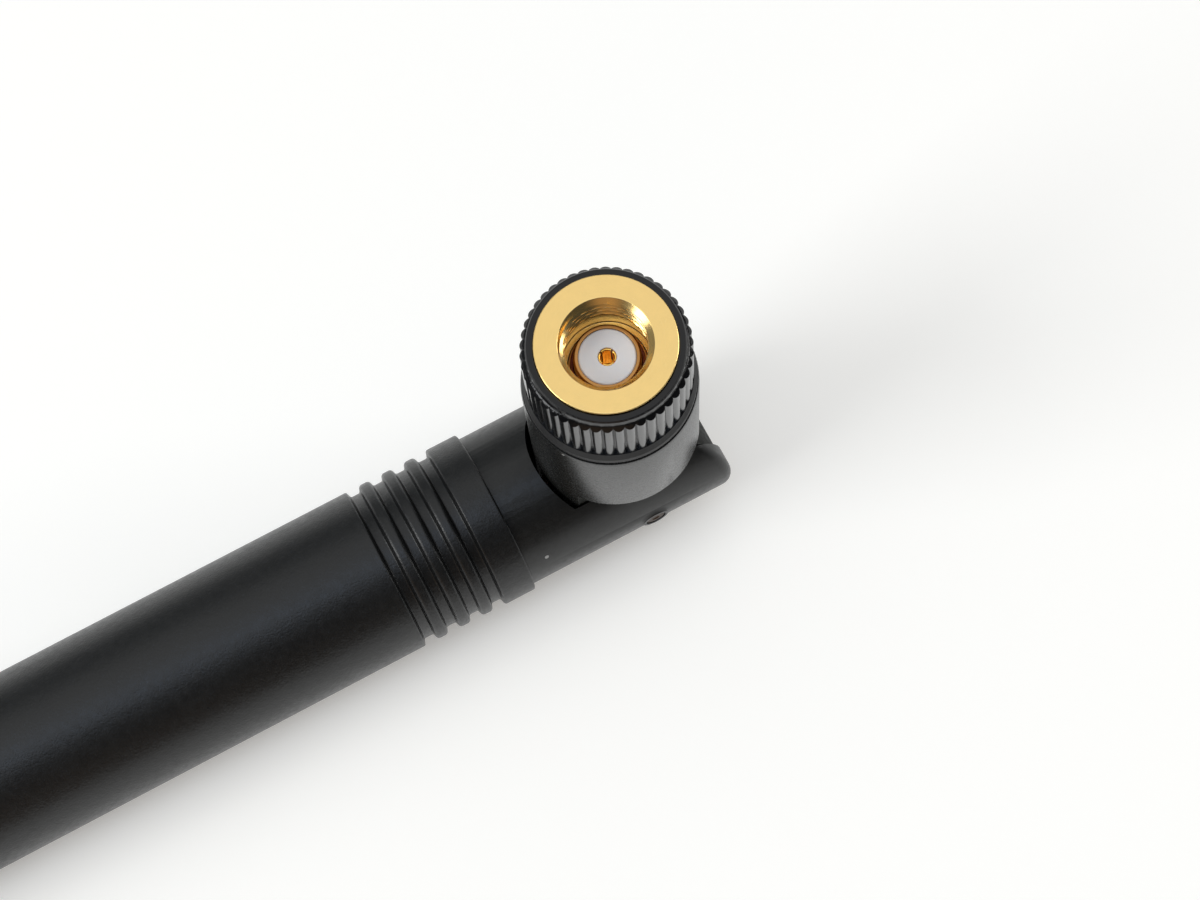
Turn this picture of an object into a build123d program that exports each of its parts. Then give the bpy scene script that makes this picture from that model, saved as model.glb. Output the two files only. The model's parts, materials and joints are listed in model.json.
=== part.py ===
from build123d import *
from math import cos, radians, sin
import os

# Whip antenna with a coaxial plug, bent ninety degrees at its hinge.
# The origin is the centre of the coupling nut's mating face and +Z points out of the nut.
# The hinge lies below the plug, its axis along Y, and the mast runs from it along -X.
# All sizes are millimetres.

# Whole antenna
STRAIGHT_LENGTH = 195.0        # mating face to tip with the hinge straight
FACE_TO_HINGE = 25.4           # mating face to hinge axis

# Mast tube
MAST_OD = 12.8
MAST_WALL = 1.25
MAST_TIP_ROUND = 3.5           # outer rounding of the closed tip
MOUTH_TO_HINGE = 10.3          # open end of the tube to hinge axis
BAND_OD = 12.9
BAND_LENGTH = 2.5              # smooth band at the mouth
RIB_COUNT = 3
RIB_WIDTH = 0.8
GROOVE_WIDTH = 1.07            # at the surface, beside each rib
GROOVE_DEPTH = 0.5
GROOVE_SLOPE = 0.18            # how far each groove wall leans in over its depth

# Hinge yoke
YOKE_OD = 12.1
YOKE_SLOT = 7.7                # gap between the two ears
EAR_REACH = 6.7                # radius of the ear ends about the hinge axis
EAR_EDGE = 0.8                 # rounding between the ear ends and the yoke's round outside
RECESS_GAP = 0.4               # between the elbow and the round end wall of the slot
SLOT_FLOOR_OPEN = 3.6          # the slot is open underneath up to this far behind the hinge
SPIGOT_LENGTH = 9.0            # part of the yoke that is glued into the tube
SPIGOT_WALL = 1.6
SPIGOT_INTO_YOKE = 1.0         # its hollow runs this far into the yoke's solid end
SPIGOT_GLUE_GAP = 0.04
SPIGOT_LEAD = 0.5              # chamfer of its end
CABLE_HOLE_D = 2.4             # through the yoke, along the mast

# Hinge pins
PIN_D = 1.6
PIN_FACE_SINK = 0.05           # pin end below the boss face
PIN_BOSS_D = 2.8
PIN_BOSS_PROUD = 0.12          # boss face outside the yoke's round surface
PIN_RUNNING_GAP = 0.04         # radial, in the elbow's tongue
PIN_END_WALL = 0.4             # between a pin's inner end and the cable chamber
PIN_END_GAP = 0.2              # the tongue's blind hole runs on this far past the pin
PIN_EDGE = 0.15                # chamfer of both ends

# Elbow
ELBOW_OD = 12.4
ELBOW_EDGE = 0.3               # rounding of the shoulder, chamfer of the top
SHOULDER_GAP = 0.1             # ear ends to the elbow's shoulder
TONGUE_R = 6.4                 # round end of the tongue
TONGUE_FORWARD = 0.25          # its centre past the hinge axis, away from the mast
TONGUE_GAP = 0.15              # on each side of the tongue
TONGUE_FLOOR_GAP = 0.4         # tongue end to the round floor of the slot
CHAMBER_WIDTH = 2.2            # slot in the tongue that the cable swings in

# Coupling nut
THREAD_BORE = 5.74             # plain hole that the fine thread is cut into
NUT_WALL = 1.63                # from that hole to the round outside
NUT_FACE_STEP = 0.37           # radial, the face outside the body
NUT_FACE_THICK = 1.0
NUT_LENGTH = 7.0
NUT_EDGE = 0.15                # chamfer of the nut's outer edges
NUT_MOUTH_STEP = 0.39          # radial, outer edge of the lead-in chamfer outside the hole
NUT_MOUTH_DEPTH = 0.35
THREAD_SHORT_OF_BARREL = 0.1   # the threaded hole ends this far in front of the plug's barrel
RELIEF_STEP = 0.33             # radial, plain relief between the thread and the gasket's seat
RELIEF_PAST_STEP = 0.1         # the relief ends this far behind the gasket's seat
NUT_RUNNING_GAP = 0.05         # radial, on the plug body
RING_GROOVE_GAP = 0.1          # around the snap ring

# Knurled collar
COLLAR_LENGTH = 7.55
COLLAR_SINK = 0.25             # collar's front edge below the nut's face
COLLAR_FRONT_WALL = 0.45       # radial, flat front outside the nut's face
COLLAR_NECK_STEP = 0.18        # radial, foot of the steep lip outside the flat front
COLLAR_NECK_DEPTH = 0.6        # the ribs' slanted ends start this far behind the front
COLLAR_CREST_STEP = 0.33       # radial, top of the ribs outside the foot of the lip
COLLAR_RING_STEP = 0.245       # radial, smooth rear ring outside the ribs
COLLAR_RING_HEIGHT = 1.2
COLLAR_RING_EDGE = 0.25
COLLAR_REAR_STEP = 0.2         # radial, how far the rear wall reaches in behind the nut
KNURL_COUNT = 46
KNURL_RIB_R = 0.44             # radius of one rib's round section
COLLAR_PRESS_GAP = 0.02        # radial, on the nut
COLLAR_TO_ELBOW = 0.2

# Plug body
PLUG_RECESS = 2.8              # mating face down to the barrel's front edge
BARREL_OD = 4.64
BARREL_BORE = 4.0
BARREL_LENGTH = 2.1            # front edge to the gasket's seat
SHOULDER_UNDER_THREAD = 0.12   # radial, the part that carries the nut is this much smaller
FLANGE_GAP = 0.4               # radial, in the collar's rear hole
FLANGE_TO_NUT = 0.1
SHANK_OD = 6.4                 # pressed into the elbow
SHANK_LENGTH = 4.5
SHANK_PRESS_GAP = 0.02
CRIMP_TAIL_OD = 2.3
CRIMP_TAIL_LENGTH = 3.5
CRIMP_TAIL_WALL = 0.35
JACKET_IN_TAIL = 1.75          # the cable's jacket ends this far inside the crimp tail

# Snap ring, gasket, bead, contact and ferrule
RING_THICK = 0.4
RING_OUT = 0.4                 # radial, how far it stands out of the plug body
RING_IN = 0.3                  # radial, how far it reaches into the plug body
RING_OPENING = 40.0            # degrees
RING_TO_GROOVE = 0.05          # on each side and on the bore
RING_BEHIND_STEP = 1.0         # front edge of the ring behind the plug's shoulder
GASKET_THICK = 0.5
GASKET_WIDTH = 0.26
GASKET_GAP = 0.02
BEAD_LENGTH = 6.4
BEAD_GAP = 0.01
BEAD_EDGE = 0.12
CONTACT_OD = 1.27
CONTACT_BORE = 0.95
CONTACT_BORE_DEPTH = 3.0
CONTACT_SINK = 0.1             # behind the bead's face
CONTACT_TAIL = 1.2             # out of the bead's rear
CONTACT_EDGE = 0.08            # chamfer of the front
CONTACT_SLIT = 0.15
CONTACT_SLIT_DEPTH = 2.2
FERRULE_WALL = 0.3
FERRULE_OVERHANG = 0.6         # past the end of the crimp tail
CRIMP_BRAID = 0.15             # braid between the tail and the ferrule

# Coaxial cable
COAX_OD = 1.37
COAX_CORE_OD = 0.7
COAX_WIRE_OD = 0.3
COAX_BEND_R = 3.6              # centre line, at the hinge
COAX_HOLE_GAP = 0.3            # radial, in the elbow
WIRE_SOLDER_DEPTH = 0.8        # inner wire inside the contact's tail
POCKET_BEHIND_CONTACT = 1.0    # room in the plug behind the contact's tail

# Dipole inside the mast, measured from the hinge axis along the mast
SLEEVE_START = 48.0
SLEEVE_LENGTH = 26.0
SLEEVE_OD = 6.0
SLEEVE_WALL = 0.4
FEED_BEAD_LENGTH = 3.0
FEED_BEAD_OD = 3.2
LOWER_WIRE_LENGTH = 28.0       # feed bead to phasing coil
COIL_TURNS = 4
COIL_PITCH = 1.9
COIL_R = 2.0                   # centre line
RADIATOR_WIRE_D = 0.9
UPPER_WIRE_LENGTH = 46.0
WIRE_SIDES = 8                 # the hidden wire is eight-sided, so that it stays light
SPACER_LENGTH = 4.0
SPACER_GAP = 0.05              # radial, in the tube and on what it holds
SHRINK_WALL = 0.25
SHRINK_ON_SLEEVE = 7.0
SHRINK_TAPER = 3.0
SHRINK_GAP = 0.02

# Places worked out from the sizes above
HINGE_TO_TIP = STRAIGHT_LENGTH - FACE_TO_HINGE
MAST_BORE = MAST_OD - 2 * MAST_WALL
SHOULDER_HEIGHT = EAR_REACH + SHOULDER_GAP
TONGUE_WIDTH = YOKE_SLOT - 2 * TONGUE_GAP
SLOT_FLOOR_R = TONGUE_R + TONGUE_FLOOR_GAP
RECESS_R = ELBOW_OD / 2 + RECESS_GAP
THREAD_R = THREAD_BORE / 2
NUT_BODY_R = THREAD_R + NUT_WALL
NUT_FACE_R = NUT_BODY_R + NUT_FACE_STEP
COLLAR_FRONT_R = NUT_FACE_R + COLLAR_FRONT_WALL
COLLAR_NECK_R = COLLAR_FRONT_R + COLLAR_NECK_STEP
COLLAR_CREST_R = COLLAR_NECK_R + COLLAR_CREST_STEP
COLLAR_RING_R = COLLAR_CREST_R + COLLAR_RING_STEP
COLLAR_REAR_HOLE_R = NUT_BODY_R - COLLAR_REAR_STEP
SHOULDER_R = THREAD_R - SHOULDER_UNDER_THREAD
FLANGE_R = COLLAR_REAR_HOLE_R - FLANGE_GAP
RING_R = SHOULDER_R + RING_OUT
RING_BORE_R = SHOULDER_R - RING_IN
COLLAR_REAR_Z = -COLLAR_SINK - COLLAR_LENGTH
ELBOW_TOP_Z = COLLAR_REAR_Z - COLLAR_TO_ELBOW
PLUG_STEP_Z = -PLUG_RECESS - BARREL_LENGTH
FLANGE_TOP_Z = -NUT_LENGTH - FLANGE_TO_NUT
SHANK_END_Z = ELBOW_TOP_Z - SHANK_LENGTH
TAIL_END_Z = SHANK_END_Z - CRIMP_TAIL_LENGTH
FERRULE_END_Z = TAIL_END_Z - FERRULE_OVERHANG
RING_TOP_Z = PLUG_STEP_Z - RING_BEHIND_STEP
BEAD_END_Z = -PLUG_RECESS - BEAD_LENGTH
CONTACT_TOP_Z = -PLUG_RECESS - CONTACT_SINK
CONTACT_END_Z = BEAD_END_Z - CONTACT_TAIL
JACKET_END_Z = TAIL_END_Z + JACKET_IN_TAIL
BEAD_POCKET_END_Z = CONTACT_END_Z - POCKET_BEHIND_CONTACT
CABLE_JOIN_HEIGHT = COAX_BEND_R
SLEEVE_END = SLEEVE_START + SLEEVE_LENGTH
COIL_START = SLEEVE_END + FEED_BEAD_LENGTH + LOWER_WIRE_LENGTH
COIL_END = COIL_START + COIL_TURNS * COIL_PITCH
RADIATOR_END = COIL_END + UPPER_WIRE_LENGTH

# The hinge axis, and the mast's own frame: its +Z runs away from the hinge along the mast
HINGE = Pos(0, 0, -FACE_TO_HINGE)
MAST = HINGE * Rot(0, -90, 0)
BIG = 40.0                     # reach of a cutting block past anything it cuts
OVER = 1.0                     # how far a cut runs past the face that it opens


def turned(points):
    """A solid of revolution about Z from corners given as (radius, height)."""
    outline = Polyline(*[(r, 0, z) for r, z in points], close=True)
    return revolve(make_face(outline), Axis.Z)


def rod(diameter, low, high):
    """A round bar on the Z axis between two heights."""
    return Pos(0, 0, (low + high) / 2) * Cylinder(diameter / 2, high - low)


def pipe(outer, inner, low, high):
    """A round tube on the Z axis between two heights."""
    return rod(outer, low, high) - Pos(0, 0, (low + high) / 2) * Cylinder(inner / 2, high - low + OVER)


def block(x, y, z):
    """A box from three (low, high) pairs."""
    size = [b - a for a, b in (x, y, z)]
    middle = [(a + b) / 2 for a, b in (x, y, z)]
    return Pos(*middle) * Box(*size)


def mast_tube():
    """One moulding: tube with a closed tip, four grooves beside three ribs, and the mouth band."""
    tube_r = MAST_OD / 2
    inner_round = MAST_TIP_ROUND - MAST_WALL
    rib_pitch = RIB_WIDTH + GROOVE_WIDTH
    grooves_start = MOUTH_TO_HINGE + BAND_LENGTH
    shell = rod(MAST_OD, MOUTH_TO_HINGE, HINGE_TO_TIP)
    shell = fillet(shell.edges().sort_by(Axis.Z)[-1], MAST_TIP_ROUND)
    bore = rod(MAST_BORE, MOUTH_TO_HINGE - OVER, HINGE_TO_TIP - MAST_WALL)
    bore = fillet(bore.edges().sort_by(Axis.Z)[-1], inner_round)
    band = pipe(BAND_OD, MAST_BORE, MOUTH_TO_HINGE, grooves_start)
    tube = shell + band - bore
    floor_r = tube_r - GROOVE_DEPTH
    for i in range(RIB_COUNT + 1):
        near = grooves_start + i * rib_pitch
        far = near + GROOVE_WIDTH
        tube -= turned([
            (floor_r, near + GROOVE_SLOPE), (tube_r, near), (tube_r + OVER, near),
            (tube_r + OVER, far), (tube_r, far), (floor_r, far - GROOVE_SLOPE),
        ])
    return MAST * tube


def hinge_yoke():
    """One moulding: fork with two round-ended ears, and a hollow spigot that fits the tube."""
    spigot_r = MAST_BORE / 2 - SPIGOT_GLUE_GAP
    # In the hinge's frame: X away from the mast, Z towards the plug.
    body = Rot(0, 90, 0) * rod(YOKE_OD, -MOUTH_TO_HINGE, EAR_REACH)
    ear_round = Rot(90, 0, 0) * Cylinder(EAR_REACH, YOKE_OD + OVER)
    behind = block((-BIG, 0), (-BIG, BIG), (-BIG, BIG))
    body &= behind + ear_round
    body = fillet(body.edges().sort_by(Axis.X)[-1], EAR_EDGE)
    spigot_end = -MOUTH_TO_HINGE - SPIGOT_LENGTH
    spigot = Rot(0, 90, 0) * rod(2 * spigot_r, spigot_end, -MOUTH_TO_HINGE)
    spigot = chamfer(spigot.edges().sort_by(Axis.X)[0], SPIGOT_LEAD)
    over_bosses = YOKE_OD + 2 * PIN_BOSS_PROUD
    boss = Cylinder(PIN_BOSS_D / 2, over_bosses)
    boss = Rot(90, 0, 0) * chamfer(boss.edges().filter_by(GeomType.CIRCLE), PIN_BOSS_PROUD / 2)
    yoke = body + spigot + boss
    half = YOKE_SLOT / 2
    slot_round = Pos(0, 0, BIG / 2) * Cylinder(RECESS_R, BIG)
    slot_floor = Rot(90, 0, 0) * Cylinder(SLOT_FLOOR_R, YOKE_SLOT)
    slot_front = block((0, BIG), (-half, half), (-BIG, BIG))
    slot_under = block((-SLOT_FLOOR_OPEN, BIG), (-half, half), (-BIG, -SLOT_FLOOR_OPEN))
    slot_top = slot_round & block((-BIG, BIG), (-half, half), (0, BIG))
    yoke -= slot_top + slot_floor + slot_front + slot_under
    yoke -= Rot(90, 0, 0) * Cylinder(PIN_D / 2, over_bosses + OVER)
    hollow_r = spigot_r - SPIGOT_WALL
    hollow = rod(2 * hollow_r, spigot_end - OVER, -MOUTH_TO_HINGE + SPIGOT_INTO_YOKE)
    cable_way = rod(CABLE_HOLE_D, -MOUTH_TO_HINGE - OVER, -TONGUE_R)
    yoke -= Rot(0, 90, 0) * (hollow + cable_way)
    return HINGE * yoke


def hinge_pins():
    """Two short metal pins, one through each ear into the elbow's tongue."""
    inner = CHAMBER_WIDTH / 2 + PIN_END_WALL
    outer = YOKE_OD / 2 + PIN_BOSS_PROUD - PIN_FACE_SINK
    pin = rod(PIN_D, inner, outer)
    pin = chamfer(pin.edges().filter_by(GeomType.CIRCLE), PIN_EDGE)
    near = HINGE * Rot(90, 0, 0) * pin
    far = HINGE * Rot(-90, 0, 0) * pin
    return Compound(children=[near, far])


def elbow_housing():
    """One moulding: round housing of the plug, with the hinge's flat-sided tongue below it."""
    bottom_z = -FACE_TO_HINGE + SHOULDER_HEIGHT
    housing = rod(ELBOW_OD, bottom_z, ELBOW_TOP_Z)
    housing = chamfer(housing.edges().sort_by(Axis.Z)[-1], ELBOW_EDGE)
    housing = fillet(housing.edges().sort_by(Axis.Z)[0], ELBOW_EDGE)
    half = TONGUE_WIDTH / 2
    tongue = rod(ELBOW_OD, -FACE_TO_HINGE, bottom_z + ELBOW_EDGE)
    tongue &= block((-BIG, BIG), (-half, half), (-FACE_TO_HINGE, ELBOW_TOP_Z))
    tongue += HINGE * Pos(TONGUE_FORWARD, 0, 0) * Rot(90, 0, 0) * Cylinder(TONGUE_R, TONGUE_WIDTH)
    elbow = housing + tongue
    # Stepped bore: plug shank, ferrule, then the cable.
    ferrule_od = CRIMP_TAIL_OD + 2 * (CRIMP_BRAID + FERRULE_WALL)
    elbow -= rod(SHANK_OD + 2 * SHANK_PRESS_GAP, SHANK_END_Z, ELBOW_TOP_Z + OVER)
    elbow -= rod(ferrule_od + 2 * COAX_HOLE_GAP, FERRULE_END_Z - COAX_HOLE_GAP, SHANK_END_Z + OVER)
    elbow -= rod(COAX_OD + 2 * COAX_HOLE_GAP, -FACE_TO_HINGE, SHANK_END_Z)
    # The cable swings from the mast side to the far end of the tongue.
    chamber_r = COAX_BEND_R + COAX_OD / 2 + COAX_HOLE_GAP
    side = CHAMBER_WIDTH / 2
    chamber = Rot(90, 0, 0) * Cylinder(chamber_r, CHAMBER_WIDTH)
    swing = block((-BIG, side), (-side, side), (-BIG, side))
    elbow -= HINGE * (chamber + swing)
    pin_hole = rod(PIN_D + 2 * PIN_RUNNING_GAP, side + PIN_END_WALL - PIN_END_GAP, ELBOW_OD)
    elbow -= HINGE * Rot(90, 0, 0) * pin_hole
    elbow -= HINGE * Rot(-90, 0, 0) * pin_hole
    return elbow


def coupling_nut():
    """Gold-plated nut, bored for the fine thread, with a groove for the snap ring."""
    mouth_r = THREAD_R + NUT_MOUTH_STEP
    relief_r = THREAD_R + RELIEF_STEP
    rear_r = SHOULDER_R + NUT_RUNNING_GAP
    face_r = NUT_FACE_R
    body_r = NUT_BODY_R
    thread_end = -PLUG_RECESS + THREAD_SHORT_OF_BARREL
    relief_end = PLUG_STEP_Z - RELIEF_PAST_STEP
    nut = turned([
        (mouth_r, 0), (face_r - NUT_EDGE, 0), (face_r, -NUT_EDGE), (face_r, -NUT_FACE_THICK),
        (body_r, -NUT_FACE_THICK), (body_r, -NUT_LENGTH + NUT_EDGE), (body_r - NUT_EDGE, -NUT_LENGTH),
        (rear_r, -NUT_LENGTH), (rear_r, relief_end), (relief_r, relief_end),
        (relief_r, thread_end), (THREAD_R, thread_end), (THREAD_R, -NUT_MOUTH_DEPTH),
    ])
    groove_r = RING_R + RING_GROOVE_GAP
    low = RING_TOP_Z - RING_THICK - RING_TO_GROOVE
    nut -= rod(2 * groove_r, low, RING_TOP_Z + RING_TO_GROOVE)
    return nut


def knurled_collar():
    """Black grip pressed on the nut: steep lip, straight round ribs, and a smooth rear ring."""
    top = -COLLAR_SINK
    ring_top = COLLAR_REAR_Z + COLLAR_RING_HEIGHT
    rib_centre = COLLAR_CREST_R - KNURL_RIB_R
    ribs = Circle(rib_centre) + PolarLocations(rib_centre, KNURL_COUNT) * Circle(KNURL_RIB_R)
    knurl = Pos(0, 0, ring_top) * extrude(ribs, top - ring_top)
    # The ribs' front ends are cut off at 45 degrees, from the foot of the lip outwards.
    neck_z = top - COLLAR_NECK_DEPTH
    ends_r = COLLAR_CREST_R + OVER
    ends_z = neck_z - (ends_r - COLLAR_NECK_R)
    knurl &= turned([
        (0, top), (COLLAR_FRONT_R, top), (COLLAR_NECK_R, neck_z), (ends_r, ends_z),
        (ends_r, ring_top), (0, ring_top),
    ])
    ring = rod(2 * COLLAR_RING_R, COLLAR_REAR_Z, ring_top)
    ring = chamfer(ring.edges().filter_by(GeomType.CIRCLE), COLLAR_RING_EDGE)
    collar = knurl + ring
    face_bore = 2 * (NUT_FACE_R + COLLAR_PRESS_GAP)
    body_bore = 2 * (NUT_BODY_R + COLLAR_PRESS_GAP)
    collar -= rod(face_bore, -NUT_FACE_THICK - COLLAR_PRESS_GAP, OVER)
    collar -= rod(body_bore, -NUT_LENGTH - COLLAR_PRESS_GAP, OVER)
    collar -= rod(2 * COLLAR_REAR_HOLE_R, COLLAR_REAR_Z - OVER, OVER)
    return collar


def plug_body():
    """Gold-plated body: barrel, shoulder that the nut turns on, flange, shank and crimp tail."""
    barrel_r = BARREL_OD / 2
    bore_r = BARREL_BORE / 2
    shank_r = SHANK_OD / 2
    tail_r = CRIMP_TAIL_OD / 2
    cable_r = tail_r - CRIMP_TAIL_WALL
    body = turned([
        (bore_r, -PLUG_RECESS), (barrel_r, -PLUG_RECESS), (barrel_r, PLUG_STEP_Z),
        (SHOULDER_R, PLUG_STEP_Z), (SHOULDER_R, FLANGE_TOP_Z), (FLANGE_R, FLANGE_TOP_Z),
        (FLANGE_R, ELBOW_TOP_Z), (shank_r, ELBOW_TOP_Z), (shank_r, SHANK_END_Z),
        (tail_r, SHANK_END_Z), (tail_r, TAIL_END_Z), (cable_r, TAIL_END_Z),
        (cable_r, BEAD_POCKET_END_Z), (bore_r, BEAD_POCKET_END_Z),
    ])
    groove_low = RING_TOP_Z - RING_THICK - RING_TO_GROOVE
    groove_r = RING_BORE_R - RING_TO_GROOVE
    body -= pipe(2 * SHOULDER_R + OVER, 2 * groove_r, groove_low, RING_TOP_Z + RING_TO_GROOVE)
    return body


def snap_ring():
    """Open wire ring that keeps the nut on the plug body."""
    ring = pipe(2 * RING_R, 2 * RING_BORE_R, RING_TOP_Z - RING_THICK, RING_TOP_Z)
    half = RING_OPENING / 2
    reach = 2 * RING_R
    corner = (reach * cos(radians(half)), reach * sin(radians(half)))
    wedge = make_face(Polyline((0, 0), corner, (corner[0], -corner[1]), close=True))
    return ring - Pos(0, 0, RING_TOP_Z) * extrude(wedge, RING_THICK, both=True)


def sealing_gasket():
    """Soft flat ring round the barrel, on the plug body's step."""
    inner = BARREL_OD + 2 * GASKET_GAP
    return pipe(inner + 2 * GASKET_WIDTH, inner, PLUG_STEP_Z, PLUG_STEP_Z + GASKET_THICK)


def dielectric_bead():
    """White insulator in the barrel, bored for the contact."""
    bead = rod(BARREL_BORE - 2 * BEAD_GAP, BEAD_END_Z, -PLUG_RECESS)
    bead = chamfer(bead.edges().filter_by(GeomType.CIRCLE).sort_by(Axis.Z)[-1], BEAD_EDGE)
    return bead - rod(CONTACT_OD + 2 * BEAD_GAP, BEAD_END_Z - OVER, OVER)


def centre_contact():
    """Gold-plated socket contact with four slit fingers and a solder cup at its rear."""
    contact = rod(CONTACT_OD, CONTACT_END_Z, CONTACT_TOP_Z)
    contact = chamfer(contact.edges().filter_by(GeomType.CIRCLE).sort_by(Axis.Z)[-1], CONTACT_EDGE)
    contact -= rod(CONTACT_BORE, CONTACT_TOP_Z - CONTACT_BORE_DEPTH, OVER)
    contact -= rod(COAX_WIRE_OD + 2 * BEAD_GAP, CONTACT_END_Z - OVER, CONTACT_END_Z + WIRE_SOLDER_DEPTH)
    low = CONTACT_TOP_Z - CONTACT_SLIT_DEPTH
    slit = block((-CONTACT_OD, CONTACT_OD), (-CONTACT_SLIT / 2, CONTACT_SLIT / 2), (low, OVER))
    return contact - slit - Rot(0, 0, 90) * slit


def crimp_ferrule():
    """Short tube crimped over the braid on the plug's tail."""
    inner = CRIMP_TAIL_OD + 2 * CRIMP_BRAID
    return pipe(inner + 2 * FERRULE_WALL, inner, FERRULE_END_Z, SHANK_END_Z)


def coax_elbow():
    """Cable in the elbow: bare inner wire, core, then the jacketed length down to the hinge."""
    join_z = -FACE_TO_HINGE + CABLE_JOIN_HEIGHT
    core_top = CONTACT_END_Z - BEAD_GAP
    cable = rod(COAX_OD, join_z, JACKET_END_Z)
    cable += rod(COAX_CORE_OD, JACKET_END_Z, core_top)
    cable += rod(COAX_WIRE_OD, core_top, CONTACT_END_Z + WIRE_SOLDER_DEPTH - BEAD_GAP)
    return cable


def coax_mast():
    """Cable in the mast: it meets the elbow's length above the hinge, bends, and runs to the feed."""
    start = (0, 0, CABLE_JOIN_HEIGHT)
    corner_end = (-COAX_BEND_R, 0, 0)
    jacket_end = (-SLEEVE_END + SLEEVE_WALL, 0, 0)
    bend = TangentArc(start, corner_end, tangent=(0, 0, -1))
    run = Line(corner_end, jacket_end)
    tube = sweep(Plane(start, z_dir=(0, 0, -1)) * Circle(COAX_OD / 2), path=Wire([bend, run]))
    bead_end = SLEEVE_END + FEED_BEAD_LENGTH
    core = Rot(0, -90, 0) * rod(COAX_CORE_OD, SLEEVE_END - SLEEVE_WALL, bead_end)
    return HINGE * (tube + core)


def choke_sleeve():
    """Brass cup, open towards the hinge, whose end wall is soldered to the cable's braid."""
    cup = pipe(SLEEVE_OD, SLEEVE_OD - 2 * SLEEVE_WALL, SLEEVE_START, SLEEVE_END)
    wall = pipe(SLEEVE_OD, COAX_CORE_OD + 2 * BEAD_GAP, SLEEVE_END - SLEEVE_WALL, SLEEVE_END)
    return MAST * (cup + wall)


def feed_bead():
    """White insulator on the cable's core, between the cup and the radiator wire."""
    return MAST * pipe(FEED_BEAD_OD, COAX_CORE_OD + 2 * BEAD_GAP, SLEEVE_END, SLEEVE_END + FEED_BEAD_LENGTH)


def radiator_wire():
    """One copper wire: straight lower length, phasing coil, straight upper length."""
    low = SLEEVE_END + FEED_BEAD_LENGTH
    wire_r = RADIATOR_WIRE_D / 2
    section = RegularPolygon(wire_r, WIRE_SIDES)
    helix = Helix(COIL_PITCH, COIL_TURNS * COIL_PITCH, COIL_R)
    start = Plane(origin=helix @ 0, z_dir=helix % 0)
    wire = Pos(0, 0, COIL_START) * sweep(start * section, path=helix, is_frenet=True)
    jog = COIL_R + wire_r
    for height in (COIL_START, COIL_END):
        wire += Pos(jog / 2, 0, height) * Rot(0, 90, 0) * extrude(section, jog / 2, both=True)
    lower = Pos(0, 0, low) * extrude(section, COIL_START + wire_r - low)
    upper = Pos(0, 0, COIL_END - wire_r) * extrude(section, RADIATOR_END - COIL_END + wire_r)
    return MAST * (wire + lower + upper)


def spacer(start, hole):
    """Light disc that centres the dipole in the tube."""
    return MAST * pipe(MAST_BORE - 2 * SPACER_GAP, hole + 2 * SPACER_GAP, start, start + SPACER_LENGTH)


def heat_shrink():
    """Shrunk tube over the cup's end and the feed bead."""
    sleeve_r = SLEEVE_OD / 2 + SHRINK_GAP
    bead_r = FEED_BEAD_OD / 2 + SHRINK_GAP
    start = SLEEVE_END - SHRINK_ON_SLEEVE
    step = SLEEVE_END + SHRINK_GAP
    end = SLEEVE_END + SHRINK_TAPER
    return MAST * turned([
        (sleeve_r, start), (sleeve_r + SHRINK_WALL, start), (sleeve_r + SHRINK_WALL, step),
        (bead_r + SHRINK_WALL, end), (bead_r, end), (bead_r, step), (sleeve_r, step),
    ])


NODES = {
    "mast_tube": mast_tube(),
    "hinge_yoke": hinge_yoke(),
    "hinge_pins": hinge_pins(),
    "elbow_housing": elbow_housing(),
    "coupling_nut": coupling_nut(),
    "knurled_collar": knurled_collar(),
    "plug_body": plug_body(),
    "snap_ring": snap_ring(),
    "sealing_gasket": sealing_gasket(),
    "dielectric_bead": dielectric_bead(),
    "centre_contact": centre_contact(),
    "crimp_ferrule": crimp_ferrule(),
    "coax_elbow": coax_elbow(),
    "coax_mast": coax_mast(),
    "choke_sleeve": choke_sleeve(),
    "feed_bead": feed_bead(),
    "radiator_wire": radiator_wire(),
    "lower_spacer": spacer(SLEEVE_START - SPACER_LENGTH, COAX_OD),
    "tip_spacer": spacer(RADIATOR_END - SPACER_LENGTH, RADIATOR_WIRE_D),
    "heat_shrink": heat_shrink(),
}

os.makedirs("parts", exist_ok=True)
for name, shape in NODES.items():
    export_step(shape, f"parts/{name}.step")
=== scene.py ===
import json
import math

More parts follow.
